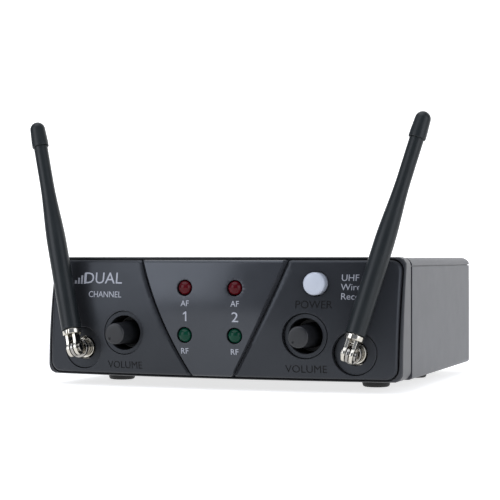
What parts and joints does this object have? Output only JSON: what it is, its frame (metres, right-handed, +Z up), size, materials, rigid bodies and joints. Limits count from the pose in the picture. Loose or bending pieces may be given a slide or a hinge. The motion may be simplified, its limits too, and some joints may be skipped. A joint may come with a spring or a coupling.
{
  "type": "wireless receiver unit",
  "caption": "Compact desktop wireless audio receiver: curved front with volume knobs, power button and status lights, and hinged rod antennas on swivel sockets.",
  "frame": {"origin": "on the surface that the feet stand on, on the centre plane of the case, midway along the depth of the bounding box; the antennas lean differently, so the middle of the bounding box is 0.85 mm to the left of it", "axes": "+Z up, +X to the right as seen from the front, and +Y to the rear, so the front faces -Y"},
  "size_m": [0.1477, 0.122, 0.0945],
  "materials": {
    "panel_plastic": "satin",
    "centre_plastic": "gloss",
    "shell_plastic": "matte",
    "rear_plastic": "matte",
    "board": "satin",
    "component": "satin",
    "cable": "matte",
    "button_plastic": "satin",
    "nickel": "polished",
    "foot_rubber": "matte",
    "screw_steel": "satin",
    "red_lens": "gloss",
    "green_lens": "gloss",
    "knob_plastic": "satin",
    "shield": "satin",
    "antenna_rubber": "satin"
  },
  "bodies": {
    "case": {"front_panel": "panel_plastic", "centre_panel": "centre_plastic", "front_bezel": "shell_plastic", "top_cover": "shell_plastic", "bottom_case": "shell_plastic", "rear_panel": "rear_plastic", "main_board": "board", "control_board": "board", "ribbon_cable": "cable", "audio_chip": "component", "regulator": "component", "filter_capacitor": "component", "power_switch_body": "component", "output_jack": "component", "jack_nut": "nickel", "dc_inlet": "component", "foot_front_left": "foot_rubber", "foot_rear_left": "foot_rubber", "foot_front_right": "foot_rubber", "foot_rear_right": "foot_rubber", "case_screw_front_left": "screw_steel", "case_screw_rear_left": "screw_steel", "case_screw_front_right": "screw_steel", "case_screw_rear_right": "screw_steel", "board_screw_front_left": "screw_steel", "board_screw_rear_left": "screw_steel", "board_screw_front_right": "screw_steel", "board_screw_rear_right": "screw_steel", "af_led_1": "red_lens", "rf_led_1": "green_lens", "pot_body_1": "component", "af_led_2": "red_lens", "rf_led_2": "green_lens", "pot_body_2": "component", "rf_shield_left": "shield", "antenna_lead_left": "cable", "antenna_bush_left": "nickel", "antenna_nut_left": "nickel", "rf_shield_right": "shield", "antenna_lead_right": "cable", "antenna_bush_right": "nickel", "antenna_nut_right": "nickel"},
    "volume_1": {"volume_knob_1": "knob_plastic", "pot_shaft_1": "screw_steel"},
    "volume_2": {"volume_knob_2": "knob_plastic", "pot_shaft_2": "screw_steel"},
    "power": {"power_button": "button_plastic", "switch_plunger": "component"},
    "left_swivel": {"antenna_hub_left": "nickel"},
    "left_arm": {"antenna_pin_left": "nickel", "antenna_fork_left": "nickel", "antenna_rod_left": "antenna_rubber", "antenna_tip_left": "antenna_rubber"},
    "right_swivel": {"antenna_hub_right": "nickel"},
    "right_arm": {"antenna_pin_right": "nickel", "antenna_fork_right": "nickel", "antenna_rod_right": "antenna_rubber", "antenna_tip_right": "antenna_rubber"}
  },
  "joints": [
    {"name": "left_antenna_swivel", "type": "hinge", "parent": "case", "child": "left_swivel", "pos_m": [-0.0498, -0.05776, 0.0134], "axis": [0, -1, 0], "range_deg": [-9, 75]},
    {"name": "left_antenna_fold", "type": "hinge", "parent": "left_swivel", "child": "left_arm", "pos_m": [-0.0498, -0.05776, 0.0134], "axis": [0.9622, 0, 0.2723], "range_deg": [0, 102]},
    {"name": "right_antenna_swivel", "type": "hinge", "parent": "case", "child": "right_swivel", "pos_m": [0.0498, -0.05776, 0.0134], "axis": [0, 1, 0], "range_deg": [-9, 75]},
    {"name": "right_antenna_fold", "type": "hinge", "parent": "right_swivel", "child": "right_arm", "pos_m": [0.0498, -0.05776, 0.0134], "axis": [0.9673, 0, -0.2538], "range_deg": [0, 102]},
    {"name": "volume_1_turn", "type": "hinge", "parent": "case", "child": "volume_1", "pos_m": [-0.0332, -0.05328, 0.019], "axis": [0, 1, 0], "range_deg": [0, 270]},
    {"name": "volume_2_turn", "type": "hinge", "parent": "case", "child": "volume_2", "pos_m": [0.0332, -0.05328, 0.019], "axis": [0, 1, 0], "range_deg": [0, 270]},
    {"name": "power_press", "type": "slide", "parent": "case", "child": "power", "axis": [0, 1, 0], "range_m": [0, 0.0025], "stiffness_N_per_m": 800}
  ]
}
